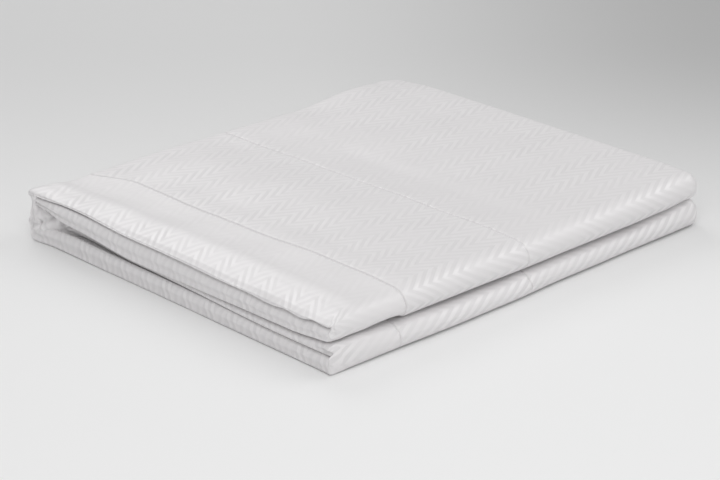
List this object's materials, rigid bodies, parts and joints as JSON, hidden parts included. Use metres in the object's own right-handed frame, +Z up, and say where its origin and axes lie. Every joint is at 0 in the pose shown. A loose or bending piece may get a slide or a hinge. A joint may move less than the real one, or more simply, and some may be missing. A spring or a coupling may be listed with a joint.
{
  "type": "folded flat sheet",
  "caption": "White satin flat sheet with a woven herringbone and a plain hem, folded into a flat oblong pack that lies on a surface.",
  "frame": {"origin": "middle of the underside, on the surface that the pack lies on", "axes": "+X along the pack, away from the end that shows the hem's open edges; +Y across it, from the side with the two rounded folds to the spine; +Z up"},
  "size_m": [0.3554, 0.3112, 0.0399],
  "materials": {
    "satin": "soft satin, woven herringbone"
  },
  "bodies": {
    "root": {"folded_sheet": "satin"}
  },
  "joints": []
}
